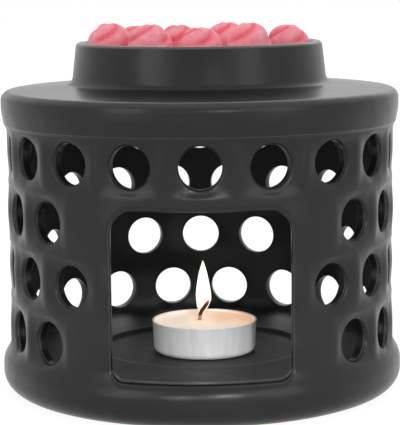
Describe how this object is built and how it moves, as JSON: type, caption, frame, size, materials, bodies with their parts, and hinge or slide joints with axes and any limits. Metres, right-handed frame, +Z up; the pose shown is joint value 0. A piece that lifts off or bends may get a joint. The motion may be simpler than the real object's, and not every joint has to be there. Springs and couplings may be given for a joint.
{
  "type": "oil burner",
  "caption": "Pierced ceramic oil burner with a dish on top for wax melts, a wide front window and a tea light that slides out through it.",
  "frame": {"origin": "centre of the foot, on the surface that the burner stands on", "axes": "+Z up along the drum's axis; -Y out of the window at the front; +X to the right of someone looking into the window"},
  "size_m": [0.1453, 0.1452, 0.1324],
  "materials": {
    "glazed_ceramic": "satin",
    "cup_aluminium": "satin",
    "candle_wax": "satin",
    "tab_steel": "satin",
    "wick_cotton": "matte",
    "melt_wax": "satin"
  },
  "bodies": {
    "burner": {"burner_body": "glazed_ceramic"},
    "tea_light": {"tea_light_cup": "cup_aluminium", "tea_light_wax": "candle_wax", "wick_tab": "tab_steel", "wick": "wick_cotton"},
    "wax_melts": {"lower_wax_melt_01": "melt_wax", "lower_wax_melt_02": "melt_wax", "lower_wax_melt_03": "melt_wax", "lower_wax_melt_04": "melt_wax", "lower_wax_melt_05": "melt_wax", "lower_wax_melt_06": "melt_wax", "lower_wax_melt_07": "melt_wax", "lower_wax_melt_08": "melt_wax", "lower_wax_melt_09": "melt_wax", "lower_wax_melt_10": "melt_wax", "lower_wax_melt_11": "melt_wax", "lower_wax_melt_12": "melt_wax", "lower_wax_melt_13": "melt_wax", "upper_wax_melt_01": "melt_wax", "upper_wax_melt_02": "melt_wax", "upper_wax_melt_03": "melt_wax", "upper_wax_melt_04": "melt_wax", "upper_wax_melt_05": "melt_wax", "upper_wax_melt_06": "melt_wax", "upper_wax_melt_07": "melt_wax", "upper_wax_melt_08": "melt_wax"}
  },
  "joints": [
    {"name": "tea_light_slide", "type": "slide", "parent": "burner", "child": "tea_light", "axis": [0, -0.9848, 0.1736], "range_m": [0, 0.105]},
    {"name": "wax_melts_lift", "type": "slide", "parent": "burner", "child": "wax_melts", "axis": [0, 0, 1], "range_m": [0, 0.03]}
  ]
}
